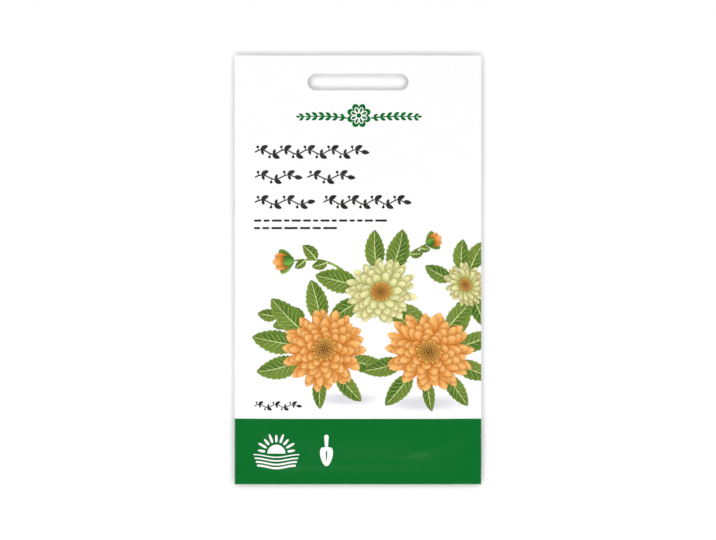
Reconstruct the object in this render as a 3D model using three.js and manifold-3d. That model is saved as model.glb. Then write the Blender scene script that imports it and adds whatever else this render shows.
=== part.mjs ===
// A seed packet: one folded paper blank with a hang slot in its glued header, and inside it a flat
// sealed sachet of seeds. The packet lies on its back, in millimetres, +Z up. X runs across the front
// and Y towards the slot. Z is 0 where the back rests.

import * as THREE from 'three';
import { mergeVertices } from 'three/addons/utils/BufferGeometryUtils.js';
import Module from 'manifold-3d';

const packetWidth = 92;
const packetHeight = 160;
const paperThickness = 0.15;
const glueThickness = 0.05;

// The rim is where front and back lie flat on each other. Its height is that of the front's inner face.
const rimHeight = 1.9;
const slot = { width: 37.6, height: 6.3, belowTop: 9.9 };
const header = { bottom: 60 };
const seamFlap = { innerEdge: 37, bottom: -77, top: 57, chamfer: 4 };
const bottomFlap = { top: -66, halfWidth: 44.5, chamfer: 7 };
const backPanel = { rightEdge: 45.2, bottom: -79.3 };
const glueAreas = {
  header: { left: -44, right: 44, bottom: 61, top: 79 },
  sideSeam: { left: 38, right: 44.5, bottom: -73, top: 53 },
  bottomFlap: { left: -37, right: 34, bottom: -78, top: -68 },
};
const paperStep = { across: 6.2, along: 8.5, turn: 1 / 4 };

// The back steps down over this stretch to make room for the seam flap.
const flapStep = [35, 37];

// The front rises over the sachet and the back sags under it. Each goes from nothing at the first
// number of a pair to its full amount at the second.
const frontDome = { rise: 1.55, left: [-45, -25], right: [45, 25], bottom: [-79, -60], top: [58, 22] };
const backBelly = { drop: 1.7, left: [-44, -24], right: [35, 22], bottom: [-65, -52], top: [50, 16] };

const film = { thickness: 0.08, left: -33, right: 33, bottom: -73, top: 14, sealDrop: 0.02 };
const chamber = { left: [-27, -19], right: [27, 19], bottom: [-63, -51.5], top: [8, -1] };
const chamberDrop = 1.66;
const chamberRise = 1.25;
const filmStep = { across: 4.4, along: 6 };

const seed = { length: 10.5, width: 4.6, thickness: 1.8, taper: 0.45, sides: 10, rings: 9 };
const seedGrid = { columns: 3, rows: 4, stepX: 12.7, stepY: 12.5, centreY: -26.2, jitter: 0.85 };
const seedClearance = 0.06;
const seedDraw = 7;

const halfWidth = packetWidth / 2;
const halfHeight = packetHeight / 2;
const foldRadius = (paperThickness + glueThickness) / 2;
const foldX = halfWidth - foldRadius - paperThickness / 2;
const foldZ = rimHeight + paperThickness / 2 - foldRadius;

const wasm = await Module();
wasm.setup();

const material = (color, roughness, metalness = 0) =>
  new THREE.MeshStandardMaterial({ color, roughness, metalness });
const coatedPaper = material('#fbfbf8', 0.45);
const adhesive = material('#e9e4d2', 0.4);
const laminate = material('#c3c6ca', 0.32, 0.85);
const seedCoat = material('#e6d3a3', 0.55);

// 0 before the first number of the pair, 1 past the second, and smooth between them.
function ramp(value, [none, full]) {
  return THREE.MathUtils.smoothstep((value - none) / (full - none), 0, 1);
}

function hill(x, y, sides) {
  const across = ramp(x, sides.left) * ramp(x, sides.right);
  return across * ramp(y, sides.bottom) * ramp(y, sides.top);
}

// Heights of the panels' inner faces. The back lies one flap lower where the seam flap comes between.
function frontInner(x, y) {
  return rimHeight + frontDome.rise * hill(x, y, frontDome);
}

function backInner(x, y) {
  const flapRoom = ramp(x, flapStep) * ramp(y, [header.bottom, seamFlap.top]);
  const flapDepth = (paperThickness + glueThickness) * flapRoom;
  return rimHeight - glueThickness - flapDepth - backBelly.drop * hill(x, y, backBelly);
}

// Numbers from one end to the other, at most step apart, through each of the given ones.
function stations(step, ...through) {
  const found = [through[0]];
  for (const next of through.slice(1)) {
    const last = found[found.length - 1];
    const count = Math.ceil(Math.abs(next - last) / step - 1e-6);
    for (let i = 1; i <= count; i += 1) found.push(last + ((next - last) * i) / count);
  }
  return found;
}

// A patch of a sheet: for each row, a point on its outer and on its inner face for each column.
function patch(columns, rows, place) {
  return rows.map((row) => columns.map((column) => place(column, row)));
}

// Sews patches that share their edge points into one closed sheet with both faces and its cut edges.
function sheetGeometry(patches) {
  const corners = [];
  const borders = new Map();
  const name = (point) => point.outer.map((value) => value.toFixed(4)).join();
  const face = (a, b, c) => corners.push(...a, ...b, ...c);
  const addBorder = (a, b) => {
    const twin = name(b) + ' ' + name(a);
    if (borders.has(twin)) borders.delete(twin);
    else borders.set(name(a) + ' ' + name(b), [a, b]);
  };
  for (const rows of patches) {
    for (let j = 1; j < rows.length; j += 1) {
      for (let i = 1; i < rows[j].length; i += 1) {
        const quad = [rows[j - 1][i - 1], rows[j - 1][i], rows[j][i], rows[j][i - 1]];
        const [a, b, c, d] = quad;
        face(a.outer, b.outer, c.outer);
        face(a.outer, c.outer, d.outer);
        face(a.inner, c.inner, b.inner);
        face(a.inner, d.inner, c.inner);
        quad.forEach((point, k) => addBorder(point, quad[(k + 1) % 4]));
      }
    }
  }
  for (const [a, b] of borders.values()) {
    face(a.outer, a.inner, b.inner);
    face(a.outer, b.inner, b.outer);
  }
  const geometry = new THREE.BufferGeometry();
  geometry.setAttribute('position', new THREE.Float32BufferAttribute(corners, 3));
  return mergeVertices(geometry, 1e-4);
}

function toSolid(geometry) {
  const flat = geometry.index ? geometry.toNonIndexed() : geometry.clone();
  flat.deleteAttribute('normal');
  flat.deleteAttribute('uv');
  const merged = mergeVertices(flat, 1e-4);
  return new wasm.Manifold(
    new wasm.Mesh({
      numProp: 3,
      vertProperties: merged.attributes.position.array,
      triVerts: new Uint32Array(merged.index.array),
    }),
  );
}

function toGeometry(solid) {
  const { vertProperties, triVerts } = solid.getMesh();
  const geometry = new THREE.BufferGeometry();
  geometry.setAttribute('position', new THREE.BufferAttribute(vertProperties, 3));
  geometry.setIndex(new THREE.BufferAttribute(triVerts, 1));
  return geometry;
}

// An upright prism over an outline, from one height to another.
function prism(outline, from, to) {
  const options = { depth: to - from, bevelEnabled: false, curveSegments: 8 };
  const geometry = new THREE.ExtrudeGeometry(outline, options);
  return toSolid(geometry.translate(0, 0, from));
}

function slotPrism() {
  const radius = slot.height / 2;
  const reach = slot.width / 2 - radius;
  const y = halfHeight - slot.belowTop;
  const outline = new THREE.Shape();
  outline.absarc(reach, y, radius, -Math.PI / 2, Math.PI / 2, false);
  outline.absarc(-reach, y, radius, Math.PI / 2, (3 * Math.PI) / 2, false);
  return prism(outline, rimHeight - 1, rimHeight + 1);
}

// What cuts a flap's corner off at 45 degrees: the corner point, and which way the flap lies from it.
function cornerPrism(x, y, towardsX, towardsY, size, from, to) {
  const outside = 0.1;
  const leg = size + 2 * outside;
  const start = new THREE.Vector2(x - towardsX * outside, y - towardsY * outside);
  const outline = new THREE.Shape([
    start,
    new THREE.Vector2(start.x + towardsX * leg, start.y),
    new THREE.Vector2(start.x, start.y + towardsY * leg),
  ]);
  return prism(outline, from, to);
}

function bottomFoldRadius(x) {
  const depth = rimHeight - backInner(x, backPanel.bottom);
  return (2 * paperThickness + glueThickness + depth) / 2;
}

function frontPoint(x, y) {
  const z = frontInner(x, y);
  return { outer: [x, y, z + paperThickness], inner: [x, y, z] };
}

function backPoint(x, y) {
  const z = backInner(x, y);
  return { outer: [x, y, z - paperThickness], inner: [x, y, z] };
}

function seamFlapPoint(x, y) {
  const z = backInner(seamFlap.innerEdge, y) + glueThickness;
  return { outer: [x, y, z], inner: [x, y, z + paperThickness] };
}

function bottomFlapPoint(x, y) {
  const z = backInner(x, backPanel.bottom) - paperThickness - glueThickness;
  return { outer: [x, y, z - paperThickness], inner: [x, y, z] };
}

// A fold along a side edge: side is 1 at the right and -1 at the left, and turn goes from 0 at the
// front to 1 at the back.
function sideFoldPoint(side, turn, y) {
  const angle = Math.PI * turn;
  const at = (radius) => [
    side * (foldX + radius * Math.sin(angle)),
    y,
    foldZ + radius * Math.cos(angle),
  ];
  return { outer: at(foldRadius + paperThickness / 2), inner: at(foldRadius - paperThickness / 2) };
}

function bottomFoldPoint(x, turn) {
  const angle = Math.PI * turn;
  const middle = bottomFoldRadius(x);
  const at = (radius) => [
    x,
    -halfHeight + middle + paperThickness / 2 - radius * Math.sin(angle),
    rimHeight + paperThickness / 2 - middle + radius * Math.cos(angle),
  ];
  return { outer: at(middle + paperThickness / 2), inner: at(middle - paperThickness / 2) };
}

function paperBlank() {
  const turns = stations(paperStep.turn, 0, 1);
  const flapSide = bottomFlap.halfWidth;
  const bellySides = [backBelly.left[1], backBelly.right[1]];
  const bellyEnds = [...backBelly.bottom, backBelly.top[1]];
  const columns = stations(paperStep.across, -foldX, -flapSide, ...bellySides, ...flapStep, flapSide);
  const rows = stations(
    paperStep.along,
    backPanel.bottom,
    seamFlap.bottom,
    ...bellyEnds,
    seamFlap.top,
    header.bottom,
    halfHeight,
  );
  const flapRows = rows.filter((y) => y >= seamFlap.bottom && y <= seamFlap.top);
  const flapColumns = columns.filter((x) => Math.abs(x) <= flapSide);
  const bottomRow = 'bottom';

  const front = patch([...columns, foldX], [bottomRow, ...rows], (x, y) => {
    const edgeY = y === bottomRow ? -halfHeight + bottomFoldRadius(x) + paperThickness / 2 : y;
    const edgeX = x === foldX && edgeY > seamFlap.top ? halfWidth : x;
    return frontPoint(edgeX, edgeY);
  });
  const back = patch([backPanel.rightEdge, ...columns.toReversed()], rows, backPoint);
  const leftFold = patch(turns.toReversed(), rows, (turn, y) => sideFoldPoint(-1, turn, y));
  const rightFold = patch(turns, flapRows, (turn, y) => sideFoldPoint(1, turn, y));
  const seamColumns = [foldX, ...columns.toReversed().filter((x) => x >= seamFlap.innerEdge)];
  const seam = patch(seamColumns, flapRows, seamFlapPoint);
  const bottomFold = patch(flapColumns, turns.toReversed(), bottomFoldPoint);
  const bottom = patch(flapColumns, [bottomFlap.top, bottomRow], (x, y) =>
    y === bottomRow ? bottomFoldPoint(x, 1) : bottomFlapPoint(x, y),
  );

  let blank = toSolid(sheetGeometry([front, back, leftFold, rightFold, seam, bottomFold, bottom]));
  blank = blank.subtract(slotPrism());
  const seamZ = rimHeight - glueThickness;
  const seamFrom = seamZ - paperThickness - glueThickness / 2;
  const seamTo = seamZ + glueThickness / 2;
  for (const [y, towardsY] of [[seamFlap.bottom, 1], [seamFlap.top, -1]]) {
    const corner = [seamFlap.innerEdge, y, 1, towardsY, seamFlap.chamfer];
    blank = blank.subtract(cornerPrism(...corner, seamFrom, seamTo));
  }
  for (const side of [-1, 1]) {
    const corner = [side * flapSide, bottomFlap.top, -side, -1, bottomFlap.chamfer];
    const under = backInner(side * flapSide, backPanel.bottom) - paperThickness;
    blank = blank.subtract(cornerPrism(...corner, 0, under - glueThickness / 2));
  }
  return toGeometry(blank);
}

// A layer of glue whose upper face is at the given height.
function glueLayer({ left, right, bottom, top }, height) {
  const box = new THREE.BoxGeometry(right - left, top - bottom, glueThickness);
  return box.translate((left + right) / 2, (bottom + top) / 2, height - glueThickness / 2);
}

function headerGlue() {
  const layer = glueLayer(glueAreas.header, rimHeight);
  return toGeometry(toSolid(layer).subtract(slotPrism()));
}

function seamGlue() {
  return glueLayer(glueAreas.sideSeam, backInner(seamFlap.innerEdge, 0) + glueThickness);
}

function bottomGlue() {
  return glueLayer(glueAreas.bottomFlap, backInner(0, backPanel.bottom) - paperThickness);
}

// A film of the sachet: flat round its seal, and raised or sunk by bulge over the chamber.
function filmGeometry(sealFrom, bulge) {
  const { left, right, bottom, top } = chamber;
  const columns = stations(filmStep.across, film.left, ...left, ...right.toReversed(), film.right);
  const rows = stations(filmStep.along, film.bottom, ...bottom, ...top.toReversed(), film.top);
  const points = patch(columns, rows, (x, y) => {
    const z = sealFrom + bulge * hill(x, y, chamber);
    return { outer: [x, y, z + film.thickness], inner: [x, y, z] };
  });
  return sheetGeometry([points]);
}

// A flat seed along X: round at its left end, drawn out at its right one, with an oval section.
function seedGeometry() {
  const swell = (x) => Math.sqrt(Math.max(0, 1 - x * x)) * (1 - seed.taper * x);
  const fullest = Math.max(...stations(0.01, -1, 1).map(swell));
  const place = (ring, side) => {
    const x = -Math.cos((Math.PI * ring) / seed.rings);
    const angle = (2 * Math.PI * side) / seed.sides;
    const halfWide = (seed.width * swell(x)) / fullest / 2;
    const halfThick = (seed.thickness * Math.sqrt(1 - x * x)) / 2;
    return [(seed.length / 2) * x, halfWide * Math.cos(angle), halfThick * Math.sin(angle)];
  };
  const corners = [];
  for (let ring = 0; ring < seed.rings; ring += 1) {
    for (let side = 0; side < seed.sides; side += 1) {
      const next = (side + 1) % seed.sides;
      const quad = [place(ring, side), place(ring, next), place(ring + 1, next), place(ring + 1, side)];
      if (ring > 0) corners.push(...quad[0], ...quad[1], ...quad[2]);
      if (ring < seed.rings - 1) corners.push(...quad[0], ...quad[2], ...quad[3]);
    }
  }
  const geometry = new THREE.BufferGeometry();
  geometry.setAttribute('position', new THREE.Float32BufferAttribute(corners, 3));
  return mergeVertices(geometry, 1e-4);
}

const group = new THREE.Group();

function addPiece(name, geometry, finish) {
  geometry.computeVertexNormals();
  const mesh = new THREE.Mesh(geometry, finish);
  mesh.name = name;
  group.add(mesh);
  return mesh;
}

// The seeds lie one deep on the sachet's floor, each in its own place of a loose grid, turned at random.
function addSeeds(floor) {
  let draw = seedDraw;
  const random = () => {
    draw = (draw * 16807) % 2147483647;
    return draw / 2147483647;
  };
  const around = (middle) => middle + (2 * random() - 1) * seedGrid.jitter;
  for (let row = 0; row < seedGrid.rows; row += 1) {
    for (let column = 0; column < seedGrid.columns; column += 1) {
      const number = String(row * seedGrid.columns + column + 1).padStart(2, '0');
      const mesh = addPiece('seed_' + number, seedGeometry(), seedCoat);
      const x = (column - (seedGrid.columns - 1) / 2) * seedGrid.stepX;
      const y = seedGrid.centreY + (row - (seedGrid.rows - 1) / 2) * seedGrid.stepY;
      mesh.position.set(around(x), around(y), floor + seedClearance + seed.thickness / 2);
      mesh.rotation.z = 2 * Math.PI * random();
    }
  }
}

const sealPlane = rimHeight - film.sealDrop + film.thickness;
addPiece('paper_blank', paperBlank(), coatedPaper);
addPiece('glue_header', headerGlue(), adhesive);
addPiece('glue_side_seam', seamGlue(), adhesive);
addPiece('glue_bottom_flap', bottomGlue(), adhesive);
addPiece('sachet_back_film', filmGeometry(sealPlane - film.thickness, -chamberDrop), laminate);
addPiece('sachet_front_film', filmGeometry(sealPlane, chamberRise), laminate);
addSeeds(sealPlane - chamberDrop);

export default group;
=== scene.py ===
# A printed paper seed packet that lies on its back on a pale floor.
import math
import random

import bpy
import numpy as np
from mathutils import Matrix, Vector
from mathutils.geometry import delaunay_2d_cdt
from mathutils.kdtree import KDTree


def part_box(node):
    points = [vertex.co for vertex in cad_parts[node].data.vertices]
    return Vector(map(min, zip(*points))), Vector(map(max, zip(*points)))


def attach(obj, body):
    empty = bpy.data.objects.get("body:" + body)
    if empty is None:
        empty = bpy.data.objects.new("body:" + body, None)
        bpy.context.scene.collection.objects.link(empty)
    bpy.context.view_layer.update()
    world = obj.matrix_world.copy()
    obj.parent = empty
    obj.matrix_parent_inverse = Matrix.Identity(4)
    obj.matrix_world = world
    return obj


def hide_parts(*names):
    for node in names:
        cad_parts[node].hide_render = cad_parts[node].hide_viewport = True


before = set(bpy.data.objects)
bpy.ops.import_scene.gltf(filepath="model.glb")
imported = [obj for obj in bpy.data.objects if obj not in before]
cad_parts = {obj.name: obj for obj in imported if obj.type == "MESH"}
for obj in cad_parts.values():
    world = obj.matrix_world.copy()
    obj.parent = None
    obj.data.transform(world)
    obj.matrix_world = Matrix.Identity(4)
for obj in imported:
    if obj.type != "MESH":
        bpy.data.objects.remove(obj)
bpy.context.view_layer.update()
mm = 0.001  # shapes are worked out in millimetres
tiny = 1e-6  # what rounding may add to a length


def nodeBox(node):  # a node's lowest and highest corner, in millimetres
    low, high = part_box(node)
    return low / mm, high / mm


# the packet's measures, worked out from the frame where it shows them
blankHigh = nodeBox("paper_blank")[1]
headerLow, headerHigh = nodeBox("glue_header")
filmLow, filmHigh = nodeBox("sachet_front_film")
halfWidth = blankHigh.x
halfHeight = blankHigh.y
rimHeight = headerHigh.z
glue = headerHigh.z - headerLow.z
paper = rimHeight - glue - nodeBox("glue_side_seam")[1].z
sealPlane = filmLow.z
foldRadius = (paper + glue) / 2
foldX = halfWidth - foldRadius - paper / 2
foldZ = rimHeight + paper / 2 - foldRadius

packet = {
    "slotWidth": 37.6, "slotHeight": 6.3, "slotBelowTop": 9.9,
    "headerBottom": 60.0, "bandTop": -55.4,
    "flapEdge": 37.0, "flapBottom": -77.0, "flapTop": 57.0, "flapChamfer": 4.0, "flapStep": (35.0, 37.0),
    "bottomFlapTop": -66.0, "bottomFlapSide": 44.5, "bottomFlapChamfer": 7.0, "bottomFlapLow": 0.1,
    "backEdge": 45.2, "backBottom": -79.3, "corner": 0.03,
    "foldTurns": 8, "printOverlap": 0.3,
    "grid": 1.0, "gridAcross": (-24.0, 22.0), "gridAlong": (-65.0, -52.0, 16.0),  # widest step, set lines
}
frontDome = {"rise": 1.42, "left": (-45, -25), "right": (45, 25), "bottom": (-79, -60), "top": (58, 22)}
backBelly = {"drop": 1.7, "left": (-44, -24), "right": (35, 22), "bottom": (-65, -52), "top": (50, 16)}


def ease(value, start, end):  # 0 before start, 1 past end, smooth between
    t = np.clip((np.asarray(value, float) - start) / (end - start), 0, 1)
    return t * t * (3 - 2 * t)


def hill(x, y, sides):
    across = ease(x, *sides["left"]) * ease(x, *sides["right"])
    return across * ease(y, *sides["bottom"]) * ease(y, *sides["top"])


# how handled paper departs from the plain form
handling = {
    "warp": 0.1, "droop": 0.06, "droopFrom": 46.0,
    "still": {"left": (-40, -26), "right": (40, 26), "bottom": (-76, -62), "top": (46, 26)},
    "ridge": 0.09, "ridgeWidth": 1.6, "pucker": 0.07, "puckerReach": 10.0, "puckerFolds": 5,
    "seedMark": 0.06, "seedReach": 3.4, "crease": 0.09, "creaseBow": 0.012,
}
seeds = sorted(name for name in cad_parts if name.startswith("seed_"))
seedSpots = [(nodeBox(node)[0] + nodeBox(node)[1]) / 2 for node in seeds]
creases = [  # soft lines that a hand left: where, heading, reach and width
    (-30.0, 33.0, 1.05, 15.0, 1.3), (33.0, 30.0, 2.2, 13.0, 1.2), (28.0, -66.5, 0.35, 13.0, 1.3),
    (-33.0, -62.0, 2.55, 10.0, 1.2), (37.0, -6.0, 1.35, 12.0, 1.1),
]


def warp(x, y):  # moves every layer alike, and nothing where the back rests
    waves = np.sin(x / 13 + 1) * np.cos(y / 17 + 0.5) + 0.7 * np.sin(y / 8.5 + 2) * (x / halfWidth) ** 2
    loose = 1 - hill(x, y, handling["still"])
    return handling["warp"] * waves * loose - handling["droop"] * ease(y, handling["droopFrom"], halfHeight)


def sachetMarks(x, y):  # the sachet, its strained corners and its seeds show through the paper
    aside = np.maximum(np.abs(x) - filmHigh.x, np.maximum(y - filmHigh.y, filmLow.y - y))
    marks = handling["ridge"] * np.exp(-(aside / handling["ridgeWidth"]) ** 2)
    for cornerX in (filmLow.x, filmHigh.x):
        for cornerY in (filmLow.y, filmHigh.y):
            reach = np.hypot(x - cornerX, y - cornerY)
            turn = np.arctan2(y - cornerY, x - cornerX)
            fade = np.exp(-((reach / handling["puckerReach"] - 1) * 2) ** 2)
            marks = marks + handling["pucker"] * fade * np.cos(handling["puckerFolds"] * turn)
    for spot in seedSpots:
        away = ((x - spot.x) ** 2 + (y - spot.y) ** 2) / handling["seedReach"] ** 2
        marks = marks + handling["seedMark"] * np.exp(-away)
    for atX, atY, heading, reach, width in creases:
        along = (x - atX) * math.cos(heading) + (y - atY) * math.sin(heading)
        across = (y - atY) * math.cos(heading) - (x - atX) * math.sin(heading)
        across = across - handling["creaseBow"] * along ** 2
        marks = marks + handling["crease"] * np.exp(-(along / reach) ** 4 - (across / width) ** 2)
    return marks * np.clip(4 * hill(x, y, frontDome), 0, 1)


def frontInner(x, y):
    return rimHeight + frontDome["rise"] * hill(x, y, frontDome) + sachetMarks(x, y)


def backInner(x, y):
    step = ease(x, *packet["flapStep"]) * ease(y, packet["headerBottom"], packet["flapTop"])
    return rimHeight - glue - (paper + glue) * step - backBelly["drop"] * hill(x, y, backBelly)


def frontFace(x, y):  # height of the printed front
    return frontInner(x, y) + paper + warp(x, y)


def backFace(x, y):  # height of the printed back
    return backInner(x, y) - paper + warp(x, y)


def stations(step, *through):  # numbers from end to end, at most step apart
    found = [through[0]]
    for last, following in zip(through, through[1:]):
        count = max(1, math.ceil(abs(following - last) / step - tiny))
        found += [last + (following - last) * (i + 1) / count for i in range(count)]
    return found


# meshes of thin sheets
def smoothed(piece, sharpAngle=35):
    piece.data.shade_smooth()
    piece.data.set_sharp_from_angle(angle=math.radians(sharpAngle))
    return piece


def addObject(name, vertices, faces, sharpAngle=35):
    mesh = bpy.data.meshes.new(name)
    mesh.from_pydata((np.asarray(vertices, float) * mm).tolist(), [], faces)
    mesh.validate()
    made = bpy.data.objects.new(name, mesh)
    bpy.context.scene.collection.objects.link(made)
    return smoothed(made, sharpAngle)


def setNumbers(piece, name, values, domain="POINT"):
    layer = piece.data.attributes.new(name, "FLOAT", domain)
    layer.data.foreach_set("value", np.asarray(values, np.float32).ravel())


def verticesOf(piece):  # in millimetres
    found = np.empty(len(piece.data.vertices) * 3)
    piece.data.vertices.foreach_get("co", found)
    return found.reshape(-1, 3) / mm


def placed(place, x, y):  # a grid of points on both faces of a sheet
    outer, inner = place(x, y)
    return np.stack(outer, -1), np.stack(inner, -1)


def patch(columns, rows, place):
    return placed(place, *np.meshgrid(np.asarray(columns, float), np.asarray(rows, float)))


def openEdges(faces):  # the edges that only one face has, each with that face's number
    found = {}
    for number, face in enumerate(faces):
        for a, b in zip(face, face[1:] + face[:1]):
            if (b, a) in found:
                del found[b, a]
            else:
                found[a, b] = number
    return found


def sewn(patches, skin):  # patches that share edge points become one closed sheet
    index, upper, lower, quads = {}, [], [], []
    for outer, inner in patches:
        top, bottom = skin(outer, inner)
        keys = np.round(outer + 3.3e-6, 5)  # moved a little, so that shared points never round apart
        ids = np.empty(keys.shape[:2], int)
        for spot in np.ndindex(*ids.shape):
            key = tuple(keys[spot])
            if key not in index:
                index[key] = len(upper)
                upper.append(top[spot])
                lower.append(bottom[spot])
            ids[spot] = index[key]
        for j, i in np.ndindex(ids.shape[0] - 1, ids.shape[1] - 1):
            quads.append((ids[j, i], ids[j, i + 1], ids[j + 1, i + 1], ids[j + 1, i]))
    n = len(upper)
    faces = [tuple(int(i) for i in quad) for quad in quads]
    faces += [tuple(int(i) + n for i in reversed(quad)) for quad in quads]
    faces += [(int(a), int(a) + n, int(b) + n, int(b)) for a, b in openEdges(quads)]
    return upper + lower, faces


def evaluated(piece):  # applies what the piece's modifiers do
    graph = bpy.context.evaluated_depsgraph_get()
    mesh = bpy.data.meshes.new_from_object(piece.evaluated_get(graph))
    piece.modifiers.clear()
    piece.data = mesh
    return piece


def prism(outline, low, high):
    n = len(outline)
    points = [(x, y, low) for x, y in outline] + [(x, y, high) for x, y in outline]
    sides = [(i, (i + 1) % n, (i + 1) % n + n, i + n) for i in range(n)]
    return addObject("cutter", points, [tuple(reversed(range(n))), tuple(range(n, 2 * n)), *sides])


def cut(piece, outline, low, high):
    cutter = prism(outline, low, high)
    modifier = piece.modifiers.new("cut", "BOOLEAN")
    modifier.object = cutter
    modifier.solver = "EXACT"
    evaluated(piece)
    bpy.data.objects.remove(cutter)


def slotOutline(steps=28):
    radius = packet["slotHeight"] / 2
    reach = packet["slotWidth"] / 2 - radius
    middle = halfHeight - packet["slotBelowTop"]
    points = []
    for side in (1, -1):
        for i in range(steps + 1):
            turn = math.pi * (i / steps - 0.5)
            points.append((side * (reach + radius * math.cos(turn)), middle + side * radius * math.sin(turn)))
    return points


def cornerOutline(x, y, towardsX, towardsY, size):
    outside = 0.1
    leg = size + 2 * outside
    start = (x - towardsX * outside, y - towardsY * outside)
    points = [start, (start[0] + towardsX * leg, start[1]), (start[0], start[1] + towardsY * leg)]
    return points if towardsX * towardsY > 0 else points[::-1]


def warped(piece):
    points = verticesOf(piece)
    points[:, 2] += warp(points[:, 0], points[:, 1])
    piece.data.vertices.foreach_set("co", (points * mm).ravel())
    piece.data.update()
    return piece


# the patches of the folded sheet, each with its printed face first
def frontPoints(x, y):
    z = frontInner(x, y)
    return (x, y, z + paper), (x, y, z)


def backPoints(x, y):
    z = backInner(x, y)
    return (x, y, z - paper), (x, y, z)


def seamPoints(x, y):
    z = backInner(packet["flapEdge"] + 0 * x, y) + glue
    return (x, y, z), (x, y, z + paper)


def bottomFlapInner(x, y):
    return backInner(x, packet["backBottom"] + 0 * y) - paper - glue


def bottomFlapPoints(x, y):
    z = bottomFlapInner(x, y)
    return (x, y, z - paper), (x, y, z)


def sideFoldPoints(side):
    def place(turn, y):
        def at(radius):
            return (side * (foldX + radius * np.sin(np.pi * turn)), y, foldZ + radius * np.cos(np.pi * turn))
        return at(foldRadius + paper / 2), at(foldRadius - paper / 2)
    return place


def bottomFoldRadius(x):
    return (2 * paper + glue + rimHeight - backInner(x, packet["backBottom"] + 0 * x)) / 2


def bottomFoldPoints(x, turn):
    middle = bottomFoldRadius(x)

    def at(radius):
        y = -halfHeight + middle + paper / 2 - radius * np.sin(np.pi * turn)
        return x, y, rimHeight + paper / 2 - middle + radius * np.cos(np.pi * turn)
    return at(middle + paper / 2), at(middle - paper / 2)


def frontPatch(columns, rows):
    nick = packet["bottomFlapSide"] + packet["corner"]  # where the bottom fold ends
    x, y = np.meshgrid(sorted([*columns, -nick, nick, foldX]), [rows[0], *rows])
    folded = np.abs(x[0]) < packet["bottomFlapSide"] + 1e-3  # past the fold the corners reach full depth
    y[0] = np.where(folded, -halfHeight + bottomFoldRadius(x[0]) + paper / 2, -halfHeight + packet["corner"])
    loose = (y[:, -1] > packet["flapTop"] + tiny) | (y[:, -1] < packet["flapBottom"] - tiny)
    x[loose, -1] = halfWidth
    return placed(frontPoints, x, y)


def bottomFlapPatch(columns):
    outer, inner = patch(columns, [packet["bottomFlapTop"], packet["backBottom"]], bottomFlapPoints)
    foldOuter, foldInner = patch(columns, [1], bottomFoldPoints)
    outer[1], inner[1] = foldOuter[0], foldInner[0]
    return outer, inner


def sheetRows(top):
    lines = [packet[name] for name in ("backBottom", "flapBottom", "bandTop", "flapTop", "headerBottom")]
    marks = sorted([*lines, *packet["gridAlong"], halfHeight])
    return [y for y in stations(packet["grid"], *marks) if y <= top + tiny]


def seamRows(top):
    return [y for y in sheetRows(top) if packet["flapBottom"] - tiny <= y <= packet["flapTop"] + tiny]


def sheetPatches(top):  # the whole blank, or what lies below a height of the band
    side = packet["bottomFlapSide"]
    columns = stations(packet["grid"], -foldX, -side, *packet["gridAcross"], *packet["flapStep"], side)
    rows = sheetRows(top)
    turns = stations(1 / packet["foldTurns"], 0, 1)
    flapColumns = [x for x in columns if abs(x) <= side + tiny]
    seamColumns = [foldX, *[x for x in columns[::-1] if x >= packet["flapEdge"] - tiny]]
    return {
        "front": frontPatch(columns, rows),
        "back": patch([packet["backEdge"], *columns[::-1]], rows, backPoints),
        "leftFold": patch(turns[::-1], [-halfHeight + packet["corner"], *rows], sideFoldPoints(-1)),
        "rightFold": patch(turns, seamRows(top), sideFoldPoints(1)),
        "seam": patch(seamColumns, seamRows(top), seamPoints),
        "bottomFold": patch(flapColumns, turns[::-1], bottomFoldPoints),
        "bottomFlap": bottomFlapPatch(flapColumns),
    }


def trimFlaps(piece):
    seamTop = rimHeight - glue / 2
    seamUnder = seamTop - paper - glue
    for y, towardsY in ((packet["flapBottom"], 1), (packet["flapTop"], -1)):
        corner = cornerOutline(packet["flapEdge"], y, 1, towardsY, packet["flapChamfer"])
        cut(piece, corner, seamUnder, seamTop)
    trimBottomFlap(piece)


def trimBottomFlap(piece):
    for side in (-1, 1):
        x = side * packet["bottomFlapSide"]
        under = float(backInner(x, packet["backBottom"])) - paper - glue / 2
        corner = cornerOutline(x, packet["bottomFlapTop"], -side, -1, packet["bottomFlapChamfer"])
        cut(piece, corner, packet["bottomFlapLow"], under)


def edgeDistance(piece):  # how far each vertex is from the packet's outline
    points = verticesOf(piece)
    return np.minimum(halfWidth - abs(points[:, 0]), halfHeight - abs(points[:, 1])).clip(0)


# procedural finishes
class Wire:  # a socket that takes part in plain arithmetic
    def __init__(self, finish, socket):
        self.finish = finish
        self.socket = socket

    def maths(self, operation, *values):
        return self.finish.node("ShaderNodeMath", {"operation": operation}, dict(enumerate(values)))

    def __add__(self, other):
        return self.maths("ADD", self, other)

    def __radd__(self, other):
        return self.maths("ADD", other, self)

    def __sub__(self, other):
        return self.maths("SUBTRACT", self, other)

    def __rsub__(self, other):
        return self.maths("SUBTRACT", other, self)

    def __mul__(self, other):
        return self.maths("MULTIPLY", self, other)

    def __rmul__(self, other):
        return self.maths("MULTIPLY", other, self)

    def __pow__(self, other):
        return self.maths("POWER", self, other)

    def __abs__(self):
        return self.maths("ABSOLUTE", self)

    def ramped(self, low, high):  # 0 at low and 1 at high, smooth and held outside
        inputs = {"Value": self, "From Min": low, "From Max": high}
        return self.finish.node("ShaderNodeMapRange", {"interpolation_type": "SMOOTHSTEP"}, inputs)


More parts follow.
